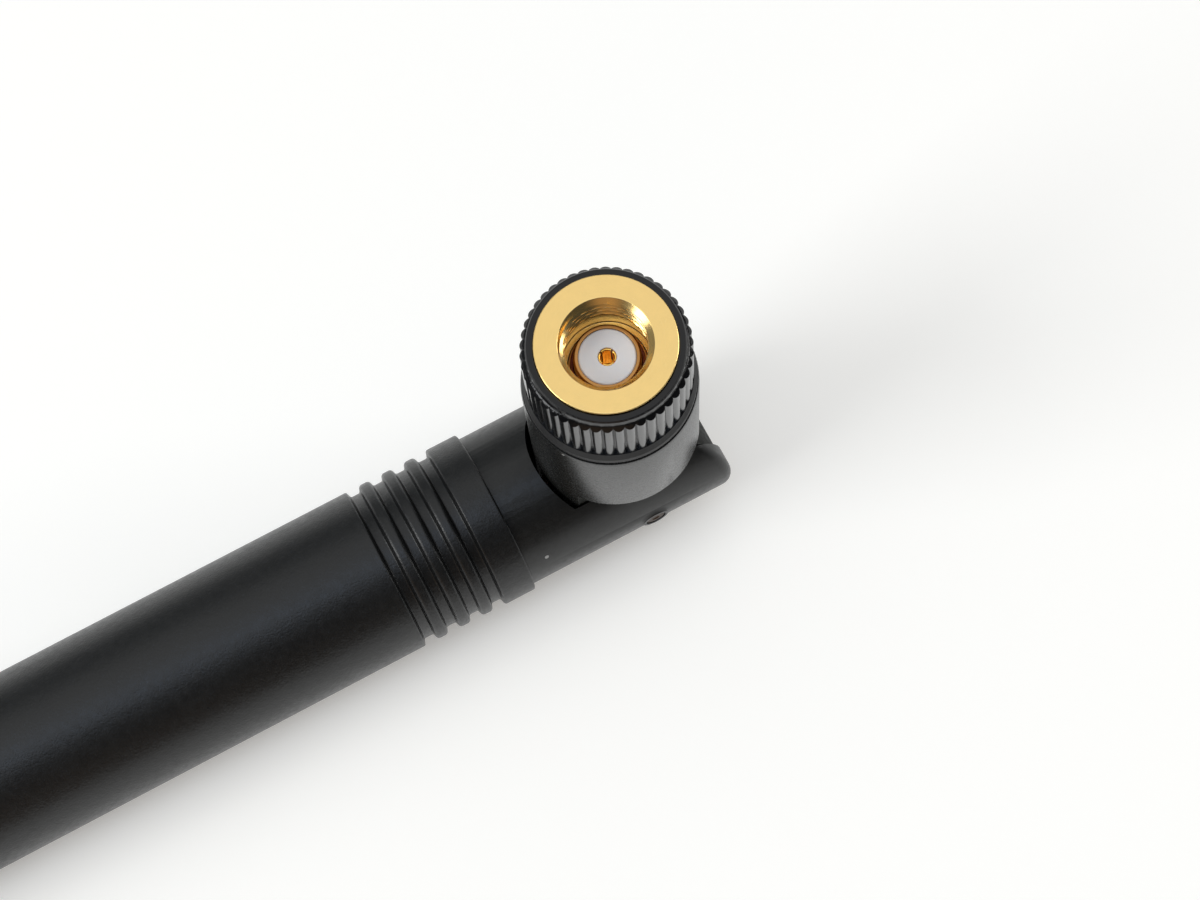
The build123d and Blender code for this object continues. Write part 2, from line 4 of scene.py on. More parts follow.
import bmesh
import bpy
import numpy as np
from bpy.props import FloatProperty, FloatVectorProperty, IntProperty, PointerProperty
from mathutils import Matrix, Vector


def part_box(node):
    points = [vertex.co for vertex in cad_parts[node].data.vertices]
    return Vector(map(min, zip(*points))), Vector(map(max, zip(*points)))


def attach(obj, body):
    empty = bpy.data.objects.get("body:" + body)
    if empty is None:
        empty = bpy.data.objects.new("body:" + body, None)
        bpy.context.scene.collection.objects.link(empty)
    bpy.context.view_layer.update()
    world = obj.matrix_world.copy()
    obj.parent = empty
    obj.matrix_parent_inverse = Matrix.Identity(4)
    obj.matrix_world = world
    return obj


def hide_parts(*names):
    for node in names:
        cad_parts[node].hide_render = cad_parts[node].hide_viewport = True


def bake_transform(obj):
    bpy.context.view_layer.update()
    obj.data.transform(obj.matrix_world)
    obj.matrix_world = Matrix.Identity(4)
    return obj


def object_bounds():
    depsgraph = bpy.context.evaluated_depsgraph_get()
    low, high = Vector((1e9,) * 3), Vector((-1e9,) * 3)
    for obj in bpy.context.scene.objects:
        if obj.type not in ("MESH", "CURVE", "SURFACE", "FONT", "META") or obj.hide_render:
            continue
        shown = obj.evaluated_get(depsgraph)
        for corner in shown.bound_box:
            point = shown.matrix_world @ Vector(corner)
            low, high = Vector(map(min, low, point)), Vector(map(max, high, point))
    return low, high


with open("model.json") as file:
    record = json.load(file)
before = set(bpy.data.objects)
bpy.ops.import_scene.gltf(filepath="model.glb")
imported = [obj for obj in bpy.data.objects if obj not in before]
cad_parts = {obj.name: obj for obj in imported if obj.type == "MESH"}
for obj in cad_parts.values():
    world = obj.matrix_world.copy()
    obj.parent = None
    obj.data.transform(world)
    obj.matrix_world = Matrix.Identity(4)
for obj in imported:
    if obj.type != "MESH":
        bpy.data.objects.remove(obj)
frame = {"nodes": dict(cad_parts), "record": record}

# The origin is the centre of the coupling nut's mating face, +Z points out of the nut, the hinge
# lies below along Y and the mast runs along -X. Everything is in metres.

bl_info = {
    "name": "Whip antenna with a tilting coaxial plug",
    "version": (1, 0, 0),
    "blender": (4, 5, 0),
    "location": "View3D > Sidebar > Antenna",
    "description": "Dresses the packed antenna in its finishes",
    "category": "Object",
}

MM = 0.001
HINGE_Z = frame["record"]["behaviour"]["joints"][0]["pos_m"][2]
TIP_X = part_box("mast_tube")[0].x
MOUTH_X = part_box("mast_tube")[1].x
FLOOR_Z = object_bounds()[0][2]


def length(name, description, size):
    """A size property in metres, its default given in millimetres."""
    return FloatProperty(name=name, description=description, default=size * MM, min=0.0,
                         unit="LENGTH", subtype="DISTANCE", precision=5)


def colour(name, description, value):
    """A colour property with linear red, green and blue."""
    return FloatVectorProperty(name=name, description=description, default=value, size=3,
                               min=0.0, max=1.0, subtype="COLOR")


class MastSizes(bpy.types.PropertyGroup):
    radius: length("Radius", "Outer radius of the mast", 6.4)
    bore: length("Bore", "Inner radius of the mast", 5.15)
    tip_round: length("Tip round", "Rounding of the closed tip", 3.5)
    end_wall: length("End wall", "Wall of the closed tip", 1.25)
    band_radius: length("Band radius", "Outer radius of the band at the mouth", 6.45)
    band: length("Band", "Length of the smooth band at the mouth", 2.5)
    rib: length("Rib", "Width of one rib", 0.8)
    groove: length("Groove", "Width of one groove at the surface", 1.07)
    groove_depth: length("Groove depth", "Depth of the grooves", 0.5)
    groove_lean: length("Groove lean", "How far a groove's wall leans in over its depth", 0.18)
    edge: length("Edge", "Rounding of the band and of the grooves", 0.16)
    rib_edge: length("Rib edge", "Rounding of the ribs", 0.3)
    grooves: IntProperty(name="Grooves", description="Number of grooves beside the ribs",
                         default=4, min=1)


class HingeSizes(bpy.types.PropertyGroup):
    ear: length("Ear", "Outer radius of the ears, about the mast's axis", 6.05)
    fork_edge: length("Fork edge", "Rounding of the fork's edges", 0.14)
    boss: length("Boss", "Radius of the boss round each pin", 1.4)
    boss_lean: FloatProperty(name="Boss lean", description="Share of its radius left at its face",
                             default=0.76, min=0.7, max=1.0, subtype="FACTOR")
    pin_inner: length("Pin's inner end", "Distance of each pin's inner end from the middle", 1.5)
    elbow_edge: length("Elbow edge", "Rounding of the elbow's edges", 0.1)
    rim: length("Rim", "Outer radius of the elbow's flat top", 6.14)
    rim_width: length("Rim width", "Width of the ring that reaches out to the rim", 0.34)
    tongue_top: length("Tongue top", "Depth below which the elbow is all tongue", 19.0)
    draw_start: length("Draw start", "Distance from the hinge where the tongue draws back", 3.2)
    draw_length: length("Draw length", "Length over which it draws back", 3.2)
    slack: length("Tongue slack", "How far the tongue's end draws back", 0.25)


class PlugSizes(bpy.types.PropertyGroup):
    nut_face: length("Nut face", "Outer radius of the nut's face", 4.87)
    nut_body: length("Nut body", "Outer radius of the nut behind its face", 4.5)
    nut_face_thick: length("Face thickness", "Thickness of the nut's wide face", 1.0)
    nut_length: length("Nut length", "Length of the coupling nut", 7.0)
    mouth: length("Mouth", "Radius of the lead-in at the face", 3.26)
    mouth_depth: length("Mouth depth", "Depth of the lead-in", 0.35)
    minor: length("Minor radius", "Radius over the thread's crests", 2.84)
    major: length("Major radius", "Radius at the thread's roots", 3.15)
    pitch: length("Pitch", "Pitch of the thread", 25.4 / 36.0)
    thread_end: length("Thread end", "Depth of the thread's inner end", 2.7)
    relief: length("Relief", "Radius of the relief behind the thread", 3.2)
    relief_end: length("Relief end", "Depth of the relief's inner end", 5.0)
    rear_bore: length("Rear bore", "Radius of the hole that turns on the plug", 2.8)
    barrel: length("Barrel", "Outer radius of the plug's barrel", 2.32)
    barrel_bore: length("Barrel bore", "Inner radius of the barrel", 2.0)
    barrel_chamfer: length("Barrel chamfer", "Chamfer round the barrel's front", 0.12)
    recess: length("Recess", "Depth of the barrel's front edge", 2.8)
    step: length("Step", "Depth of the gasket's seat", 4.9)
    contact: length("Contact", "Outer radius of the centre contact", 0.635)
    contact_bore: length("Contact bore", "Radius of the contact's hole", 0.475)
    contact_hole: length("Contact hole", "Depth of the contact's hole", 3.0)
    fingers: length("Fingers", "Length of the contact's four fingers", 2.2)
    slit: length("Slit", "Width of the slits between the fingers", 0.15)
    shoulder: length("Shoulder", "Radius of the shoulder that the nut turns on", 2.75)
    flange: length("Flange", "Radius of the flange on the elbow", 3.9)
    shank: length("Shank", "Radius of the shank pressed in the elbow", 3.2)
    shank_length: length("Shank length", "Length of the shank", 4.5)
    tail: length("Tail", "Radius of the tail under the cable's braid", 1.15)
    tail_bore: length("Tail bore", "Radius of the hole for the cable's core", 0.8)
    pocket: length("Pocket", "Depth of the insulator's seat", 11.4)


class CollarSizes(bpy.types.PropertyGroup):
    ribs: IntProperty(name="Ribs", description="Number of ribs round the collar",
                      default=46, min=8)
    rib_radius: length("Rib radius", "Radius of a rib's round section", 0.44)
    crest: length("Crest", "Radius over the ribs", 5.83)
    sink: length("Sink", "Depth of the collar's front behind the nut's face", 0.25)
    front: length("Front", "Radius of the flat front", 5.32)
    lip: length("Lip", "Radius where the front's chamfer meets the steep lip", 5.42)
    lip_depth: length("Lip depth", "Depth of that edge", 0.38)
    neck: length("Neck", "Radius at the foot of the steep lip", 5.5)
    neck_depth: length("Neck depth", "Depth of the lip's foot, where the ribs' ends start", 0.85)
    ring: length("Ring", "Radius of the smooth rear ring", 6.075)
    ring_height: length("Ring height", "Height of the smooth rear ring", 1.2)
    ring_cone: length("Ring cone", "Height of the cone from the ribs out to the ring", 0.55)
    ring_edge: length("Ring edge", "Rounding of the rear ring", 0.12)
    rear: length("Rear", "Depth of the collar's rear face", 7.8)
    rear_bore: length("Rear bore", "Radius of the hole in the rear wall", 4.3)


class Finishes(bpy.types.PropertyGroup):
    mast: colour("Mast", "Moulded black of the mast", (0.0065, 0.0068, 0.0070))
    yoke: colour("Yoke", "Moulded black of the yoke", (0.0090, 0.0092, 0.0090))
    elbow: colour("Elbow", "Moulded black of the elbow", (0.0115, 0.0118, 0.0112))
    # Painted shade: the tongue's black is darker than the elbow's so that it reads as shaded in the
    # fork.
    tongue: colour("Tongue", "Rubbed black of the elbow's tongue", (0.0070, 0.0078, 0.0060))
    collar: colour("Collar", "Glossy black of the collar", (0.0030, 0.0030, 0.0034))
    gilt: colour("Gilt", "Gold plating of the nut", (0.98, 0.69, 0.27))
    # Painted shade: the barrel's plating is a darker brown than the nut's gold, standing in for
    # shade and warm reflections deep in the nut.
    barrel: colour("Barrel", "Plating of the plug's barrel", (0.50, 0.25, 0.08))
    # Painted reflection: the contact's gold is more orange than the nut's, standing in for warm
    # light bounced round inside its hole.
    contact: colour("Contact", "Plating of the centre contact", (0.98, 0.58, 0.13))
    insulator: colour("Insulator", "White of the insulators", (0.92, 0.95, 1.0))
    gasket: colour("Gasket", "Red-brown of the gasket", (0.26, 0.06, 0.03))
    pin: colour("Pin", "Dull metal of the hinge pins", (0.055, 0.036, 0.025))
    jacket: colour("Jacket", "Brown of the cable's jacket", (0.20, 0.07, 0.03))
    sleeve: colour("Sleeve", "Drawn brass of the sleeve in the mast", (0.75, 0.50, 0.20))
    ferrule: colour("Ferrule", "Nickel plating of the ferrule", (0.60, 0.56, 0.50))
    spring: colour("Spring", "Steel of the snap ring", (0.45, 0.45, 0.46))
    copper: colour("Copper", "Bare copper of the radiator", (0.80, 0.38, 0.22))
    foam: colour("Foam", "Foam of the spacers", (0.78, 0.78, 0.75))
    shrink: colour("Shrink", "Black of the heat-shrunk sleeve", (0.03, 0.03, 0.03))
    floor: colour("Floor", "White of the floor", (0.81, 0.805, 0.785))


# Outlines and grids of points

def rounded(corners, steps=5, closed=True):
    """An outline whose corners are arcs.

    A corner is (a, b, radius). Its arc touches both sides at radius / tan(half the angle between
    them), its points turn evenly from one touching point to the other about the arc's centre, and
    a guard point beside each end keeps the straight side straight under smooth shading. The two
    ends of an open outline stay as they are.
    """
    data = np.array(corners, float)
    corner, radius = data[:, :2], data[:, 2:]
    back = np.roll(corner, 1, 0) - corner
    ahead = np.roll(corner, -1, 0) - corner
    side_a = np.linalg.norm(back, axis=1, keepdims=True)
    side_b = np.linalg.norm(ahead, axis=1, keepdims=True)
    back, ahead = back / side_a, ahead / side_b
    cosine = np.clip((back * ahead).sum(1, keepdims=True), -0.9999, 0.9999)
    half = np.arccos(cosine) / 2
    touch = radius / np.tan(half)
    middle = back + ahead
    middle /= np.linalg.norm(middle, axis=1, keepdims=True)
    centre = corner + middle * radius / np.sin(half)
    first = corner + back * touch - centre
    last = corner + ahead * touch - centre
    turn = (math.pi - 2 * half)[:, None]
    share = np.linspace(0, 1, steps + 1)[None, :, None]
    arc = (np.sin((1 - share) * turn) * first[:, None] + np.sin(share * turn) * last[:, None])
    arc = arc / np.sin(turn) + centre[:, None]
    room_a = side_a - touch - np.roll(touch, 1, 0)
    room_b = side_b - touch - np.roll(touch, -1, 0)
    farthest = 0.05 * MM
    guard_a = corner + back * (touch + np.minimum(room_a / 4, farthest))
    guard_b = corner + ahead * (touch + np.minimum(room_b / 4, farthest))
    points = np.concatenate([guard_a[:, None], arc, guard_b[:, None]], axis=1)
    if closed:
        return points.reshape(-1, 2)
    inner = points[1:-1].reshape(-1, 2)
    return np.concatenate([corner[:1], inner, corner[-1:]])


def turned(outline, around=160):
    """Carries an outline of (radius, height) round Z: x = r cos a, y = r sin a, z = height."""
    angle = np.linspace(0, 2 * math.pi, around, endpoint=False)
    radius = np.repeat(outline[:, :1], around, axis=1)
    height = np.repeat(outline[:, 1:], around, axis=1)
    return radius, np.broadcast_to(angle, radius.shape), height


def points_of(radius, angle, height):
    """Points on a grid from their radius, angle and height about Z."""
    return np.stack([radius * np.cos(angle), radius * np.sin(angle), height], axis=-1)


def along_mast(points):
    """Turns what was worked out standing on the hinge so that its height runs along the mast."""
    x, y, z = points[..., 0], points[..., 1], points[..., 2]
    return np.stack([-z, y, x + HINGE_Z], axis=-1)


def along_pin(points, side):
    """Turns what was worked out standing on the hinge so that its height runs out of an ear."""
    x, y, z = points[..., 0], points[..., 1], points[..., 2]
    return np.stack([x, side * z, y + HINGE_Z], axis=-1)


def tube_along(path, radii, around=20):
    """A round tube whose centre follows a path in the XZ plane or near it.

    A point is path + r (cos a * side + sin a * up), with side and up square to the path.
    """
    forward = np.gradient(path, axis=0)
    forward /= np.linalg.norm(forward, axis=1, keepdims=True)
    side = np.cross(forward, np.array([0.02, 1.0, 0.03]))
    side /= np.linalg.norm(side, axis=1, keepdims=True)
    up = np.cross(forward, side)
    angle = np.linspace(0, 2 * math.pi, around, endpoint=False)[None, :, None]
    ring = np.cos(angle) * side[:, None] + np.sin(angle) * up[:, None]
    wall = path[:, None] + np.asarray(radii)[:, None, None] * ring
    ends = [np.repeat(path[i][None, None], around, axis=1) for i in (0, -1)]
    return np.concatenate([ends[0], wall, ends[1]])


# Meshes

def quads(rows, columns, closed_rows, closed_columns):
    """Four-sided faces over a grid: each joins a point to the next in its row and its column."""
    r = np.arange(rows if closed_rows else rows - 1)
    c = np.arange(columns if closed_columns else columns - 1)
    r, c = np.meshgrid(r, c, indexing="ij")
    r_next, c_next = (r + 1) % rows, (c + 1) % columns
    corners = [r * columns + c, r_next * columns + c,
               r_next * columns + c_next, r * columns + c_next]
    return np.stack(corners, axis=-1).reshape(-1, 4)


def skin(points, closed_rows=True, closed_columns=True, capped=False):
    """A closed bmesh over a grid of points, with its poles merged and its faces outwards."""
    rows, columns = points.shape[:2]
    faces = quads(rows, columns, closed_rows, closed_columns)
    mesh = bpy.data.meshes.new("grid")
    mesh.from_pydata(points.reshape(-1, 3).tolist(), [], faces.tolist())
    shell = bmesh.new()
    shell.from_mesh(mesh)
    bpy.data.meshes.remove(mesh)
    if capped:
        shell.verts.ensure_lookup_table()
        for column in (0, columns - 1):
            shell.faces.new([shell.verts[row * columns + column] for row in range(rows)])
    bmesh.ops.remove_doubles(shell, verts=shell.verts, dist=0.0001 * MM)
    bmesh.ops.recalc_face_normals(shell, faces=shell.faces)
    return shell


def piece(name, shells, body, finish, replaces=(), sharp=35.0):
    """One object from closed shells: shaded smooth but for its sharp edges, finished and riding."""
    mesh = bpy.data.meshes.new(name)
    whole = bmesh.new()
    for shell in shells:
        part = bpy.data.meshes.new("part")
        shell.to_mesh(part)
        shell.free()
        whole.from_mesh(part)
        bpy.data.meshes.remove(part)
    whole.to_mesh(mesh)
    whole.free()
    mesh.polygons.foreach_set("use_smooth", np.ones(len(mesh.polygons), bool))
    mesh.set_sharp_from_angle(angle=math.radians(sharp))
    mesh.materials.append(finish)
    made = bpy.data.objects.new(name, mesh)
    bpy.context.scene.collection.objects.link(made)
    if replaces:
        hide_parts(*replaces)
    if body:
        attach(made, body)
    return made


def softened(node, name, body, finish, edge):
    """A welded copy of a moulding whose sharp edges get a small round, as a mould leaves them."""
    shell = bmesh.new()
    shell.from_mesh(frame["nodes"][node].data)
    bmesh.ops.remove_doubles(shell, verts=shell.verts, dist=0.001 * MM)
    flat = math.radians(0.5)
    bmesh.ops.dissolve_limit(shell, angle_limit=flat, verts=shell.verts, edges=shell.edges)
    made = piece(name, [shell], body, finish, replaces=(node,), sharp=30.0)
    bevel = made.modifiers.new("edge", "BEVEL")
    bevel.width = edge
    bevel.segments = 3
    bevel.limit_method = "ANGLE"
    bevel.angle_limit = math.radians(35.0)
    bevel.harden_normals = True
    return made


def spots_of(made):
    """A mesh's vertices as rows of x, y and z."""
    spots = np.empty(len(made.data.vertices) * 3)
    made.data.vertices.foreach_get("co", spots)
    return spots.reshape(-1, 3)


def put_spots(made, spots):
    """Puts rows of x, y and z back as a mesh's vertices."""
    made.data.vertices.foreach_set("co", spots.ravel())
    made.data.update()


# Shaders

class Socket:
    """One output of a shader's node, so that shader maths reads as arithmetic."""

    def __init__(self, shader, output):
        self.shader = shader
        self.output = output

    def maths(self, operation, first, second):
        return self.shader.add("ShaderNodeMath", {0: first, 1: second}, operation=operation)

    def __add__(self, other):
        return self.maths("ADD", self, other)

    def __radd__(self, other):
        return self.maths("ADD", other, self)

    def __mul__(self, other):
        return self.maths("MULTIPLY", self, other)

    def __rmul__(self, other):
        return self.maths("MULTIPLY", other, self)

    def __pow__(self, other):
        return self.maths("POWER", self, other)

    def __rpow__(self, other):
        return self.maths("POWER", other, self)

    def __lt__(self, other):
        return self.maths("LESS_THAN", self, other)

    def __gt__(self, other):
        return self.maths("GREATER_THAN", self, other)


class Shader:
    """A node tree in the making. Every node comes from its method add."""

    def __init__(self, tree):
        self.tree = tree

    def add(self, kind, sockets=None, out=0, **settings):
        """A node of a type: its settings first, then its sockets' values or links."""
        node = self.tree.nodes.new(kind)
        for key, value in settings.items():
            setattr(node, key, value)
        for key, value in (sockets or {}).items():
            if isinstance(value, Socket):
                self.tree.links.new(value.output, node.inputs[key])
            else:
                node.inputs[key].default_value = value
        return Socket(self, node.outputs[out]) if len(node.outputs) else None

    def blend(self, share, first, second):
        """From the first colour to the second by the share."""
        sockets = {0: share, 6: colour_of(first), 7: colour_of(second)}
        return self.add("ShaderNodeMix", sockets, out=2, data_type="RGBA")


class Finish(Shader):
    """A material in the making, whose patterns stand in the object's own space."""

    def __init__(self, name):
        self.material = bpy.data.materials.new(name)
        self.material.use_nodes = True
        self.material.node_tree.nodes.clear()
        super().__init__(self.material.node_tree)
        self.place = self.add("ShaderNodeTexCoord", out="Object")

    def noise(self, size, detail=2.0, roughness=0.5, place=None):
        """Soft lumps of about that size in metres, from 0 to 1."""
        sockets = {"Vector": place or self.place, "Scale": 1.0 / size, "Detail": detail,
                   "Roughness": roughness}
        return self.add("ShaderNodeTexNoise", sockets, out="Fac")

    def between(self, low, high, value):
        """Value's stretch from low to high, taken to 0 and 1 and held there."""
        sockets = {"Value": value, "From Min": low, "From Max": high}
        return self.add("ShaderNodeMapRange", sockets)

    def near(self, spot, radius):
        """1 inside a small ball about a point of the object and 0 outside it."""
        away = self.add("ShaderNodeVectorMath", {0: self.place, 1: spot}, out="Value",
                        operation="DISTANCE")
        return away < radius

    def bump(self, height, depth):
        """A height as relief, where 1 stands for that depth in metres."""
        return self.add("ShaderNodeBump", {"Height": height, "Distance": depth})

    def surface(self, **sockets):
        """The surface shader, its sockets named with underscores for spaces, wired to the end."""
        named = {key.replace("_", " "): value for key, value in sockets.items()}
        shader = self.add("ShaderNodeBsdfPrincipled", named)
        self.add("ShaderNodeOutputMaterial", {"Surface": shader})
        return self.material


def colour_of(value):
    """A colour of three or four numbers as four, or a socket as it is."""
    return value if isinstance(value, Socket) else (*value[:3], 1.0)


def black_moulding(name, shade, grain, depth, low, high, specks=(), painted_glints=0.0, gloss=0.5):
    """Spark-eroded black plastic: fine grain, faint clouding, the odd speck of dust.

    Small bluish specks painted into the colour, in a given share, are painted highlights; gloss is
    the surface's mirror level.
    """
    finish = Finish(name)
    fine = finish.noise(grain, 3.0, 0.6)
    coarse = finish.noise(grain * 3.1, 2.0)
    cloud = finish.noise(6 * MM, 2.0)
    tone = finish.blend(cloud, [0.8 * c for c in shade], [1.25 * c for c in shade])
    # Painted highlights: bluish specks painted into the base colour stand for the grain catching a
    # bluish light.
    if painted_glints:
        painted_glint = finish.between(0.60, 0.72, finish.noise(grain * 1.3, 3.0, 0.7))
        bluish = [k * c for k, c in zip((2.0, 2.4, 3.0), shade)]
        tone = finish.blend(painted_glint * painted_glints, tone, bluish)
    dust = (0.42, 0.42, 0.41)
    for spot, size in specks:
        tone = finish.blend(finish.near(spot, size), tone, dust)
    rough = finish.between(0.25, 0.75, coarse) * (high - low) + low
    relief = finish.bump(fine + coarse * 0.6, depth)
    return finish.surface(Base_Color=tone, Roughness=rough, Normal=relief,
                          Specular_IOR_Level=gloss)


def gloss_black(name, shade, dull_below):
    """Polished black plastic with faint handling haze and fine draw lines along the plug's axis.

    Below a height it is left dull.
    """
    finish = Finish(name)
    height = finish.add("ShaderNodeSeparateXYZ", {0: finish.place}, out="Z")
    haze = finish.noise(2.5 * MM, 4.0, 0.6)
    drawn = finish.add("ShaderNodeVectorMath", {0: finish.place, 1: (1.0, 1.0, 0.03)},
                       operation="MULTIPLY")
    scuff = finish.noise(0.16 * MM, 2.0, place=drawn)
    rough = finish.between(0.3, 0.7, haze) * 0.08 + 0.10 + (height < dull_below) * 0.45
    tone = finish.blend(haze, shade, [1.8 * c for c in shade])
    return finish.surface(Base_Color=tone, Roughness=rough, Normal=finish.bump(scuff, 0.014 * MM),
                          Specular_IOR_Level=0.40)


def plated(name, shade, low, high):
    """Turned and plated metal: fine rings about the plug's axis under the plating, faint stains."""
    finish = Finish(name)
    x = finish.add("ShaderNodeSeparateXYZ", {0: finish.place}, out="X")
    y, z = (Socket(finish, x.output.node.outputs[axis]) for axis in "YZ")
    out = (x * x + y * y) ** 0.5
    flat = finish.add("ShaderNodeCombineXYZ", {"X": out, "Z": z})
    rings = finish.noise(0.03 * MM, 2.0, 0.7, place=flat)
    stain = finish.noise(1.3 * MM, 4.0, 0.6)
    tone = finish.blend(finish.between(0.35, 0.8, stain), shade, [0.95 * c for c in shade])
    rough = finish.between(0.3, 0.7, stain * 0.5 + rings * 0.5) * (high - low) + low
    return finish.surface(Base_Color=tone, Metallic=1.0, Roughness=rough,
                          Normal=finish.bump(rings, 0.0006 * MM))


def waxy_white(name, shade):
    """White insulator, a little see-through, with faint clouding and grain."""
    finish = Finish(name)
    cloud = finish.noise(0.8 * MM, 3.0)
    grain = finish.noise(0.06 * MM, 2.0)
    tone = finish.blend(cloud, [0.96 * c for c in shade], shade)
    return finish.surface(Base_Color=tone, Roughness=0.42, Normal=finish.bump(grain, 0.003 * MM),
                          Subsurface_Weight=0.12, Subsurface_Scale=0.4 * MM,
                          Subsurface_Radius=(1.0, 0.9, 0.8))


def plain_metal(name, shade, low, high, size=0.2 * MM):
    """Drawn or bare metal with soft stains and a fine grain."""
    finish = Finish(name)
    stain = finish.noise(size * 4, 3.0)
    grain = finish.noise(size, 4.0, 0.7)
    tone = finish.blend(stain, [0.75 * c for c in shade], shade)
    rough = finish.between(0.3, 0.7, stain) * (high - low) + low
    return finish.surface(Base_Color=tone, Metallic=1.0, Roughness=rough,
                          Normal=finish.bump(grain, 0.004 * MM))


def soft_plastic(name, shade, rough, size=0.3 * MM, depth=0.006 * MM):
    """Unpolished plastic, foam or rubber: soft grain and clouding."""
    finish = Finish(name)
    grain = finish.noise(size, 3.0)
    cloud = finish.noise(size * 12, 2.0)
    tone = finish.blend(cloud, [0.85 * c for c in shade], [1.1 * min(c, 0.9) for c in shade])
    return finish.surface(Base_Color=tone, Roughness=finish.between(0.2, 0.8, grain) * 0.1 + rough,
                          Normal=finish.bump(grain, depth))


def dress(node, finish):
    """Gives a CAD node that stays its finish."""
    mesh = frame["nodes"][node].data
    mesh.materials.clear()
    mesh.materials.append(finish)


# Pieces

class ANTENNA_OT_mast(bpy.types.Operator):
    """Make the mast tube with its ribs, band and closed tip"""
    bl_idname = "antenna.mast"
    bl_label = "Mast"

    def execute(self, context):
        size = context.scene.antenna_mast
        # The mast's half section, in radius and height, is turned about the mast's axis.
        mouth, tip = -MOUTH_X, -TIP_X
        floor = size.radius - size.groove_depth
        outline = [(0.0, tip - size.end_wall, 0.0),
                   (size.bore, tip - size.end_wall, size.tip_round - size.end_wall),
                   (size.bore, mouth, size.edge),
                   (size.band_radius, mouth, size.edge)]
        at = mouth + size.band
        outline += [(size.band_radius, at, size.edge)]
        for i in range(size.grooves):
            near = at + i * (size.rib + size.groove)
            far = near + size.groove
            if i:
                outline += [(size.radius, near, size.rib_edge)]
            outline += [(floor, near + size.groove_lean, size.edge),
                        (floor, far - size.groove_lean, size.edge),
                        (size.radius, far, size.rib_edge if i < size.grooves - 1 else size.edge)]
        outline += [(size.radius, tip, size.tip_round), (0.0, tip, 0.0)]
        path = rounded(outline, steps=6, closed=False)
        points = along_mast(points_of(*turned(path, around=224)))
        shade = context.scene.antenna_finish.mast
        # The mast's black carries painted highlights: bluish specks in its colour along the grain.
        finish = black_moulding("mast_black", shade, grain=0.16 * MM, depth=0.022 * MM,
                                low=0.30, high=0.42, painted_glints=0.8, gloss=0.46)
        shell = skin(points, closed_rows=False)
        piece("mast_shell", [shell], "mast", finish, ("mast_tube",))
        return {"FINISHED"}


class ANTENNA_OT_yoke(bpy.types.Operator):
    """Make the hinge's fork and its two pins"""
    bl_idname = "antenna.yoke"
    bl_label = "Yoke and pins"

    def execute(self, context):
        size = context.scene.antenna_hinge
        colours = context.scene.antenna_finish
        dust = [((-8.69 * MM, -5.51 * MM, -22.89 * MM), 0.16 * MM)]
        finish = black_moulding("yoke_black", colours.yoke, grain=0.14 * MM, depth=0.008 * MM,
                                low=0.30, high=0.42, specks=dust, gloss=0.43)
        made = softened("hinge_yoke", "yoke_fork", "mast", finish, size.fork_edge)
        self.lean_bosses(made, size)
        low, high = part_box("hinge_pins")
        radius = (high.x - low.x) / 2
        metal = plain_metal("pin_metal", colours.pin, 0.35, 0.55, size=0.12 * MM)
        outer = high.y
        inner = size.pin_inner
        dimple = 0.08 * MM
        # The pins' half section, in radius and distance from the middle, is turned about Y.
        outline = [(0.0, inner, 0.0), (radius, inner, 0.12 * MM), (radius, outer, 0.16 * MM),
                   (radius * 0.45, outer, 0.05 * MM), (radius * 0.3, outer - dimple, 0.05 * MM),
                   (0.0, outer - dimple, 0.0)]
        grid = points_of(*turned(rounded(outline, closed=False), around=48))
        shells = [skin(along_pin(grid, side), closed_rows=False) for side in (1, -1)]
        piece("pins", shells, "mast", metal, ("hinge_pins",))
        return {"FINISHED"}

    def lean_bosses(self, made, size):
        """Draws each pin boss's face in, so that its side leans in from a foot that stays put.

        A point of the side's upper edges, at the boss's radius or just inside it and above the
        ear's round y = sqrt(ear radius^2 - height^2), goes in to a share of its distance.
        """
        spots = spots_of(made)
        height = spots[:, 2] - HINGE_Z
        out = np.hypot(spots[:, 0], height)
        on_ear = np.sqrt(np.maximum(size.ear ** 2 - height ** 2, 0))
        face = (out > size.boss - 0.1 * MM) & (out < size.boss + 0.02 * MM)
        face &= np.abs(spots[:, 1]) > on_ear + 0.03 * MM
        spots[face, 0] *= size.boss_lean
        spots[face, 2] = HINGE_Z + height[face] * size.boss_lean
        put_spots(made, spots)


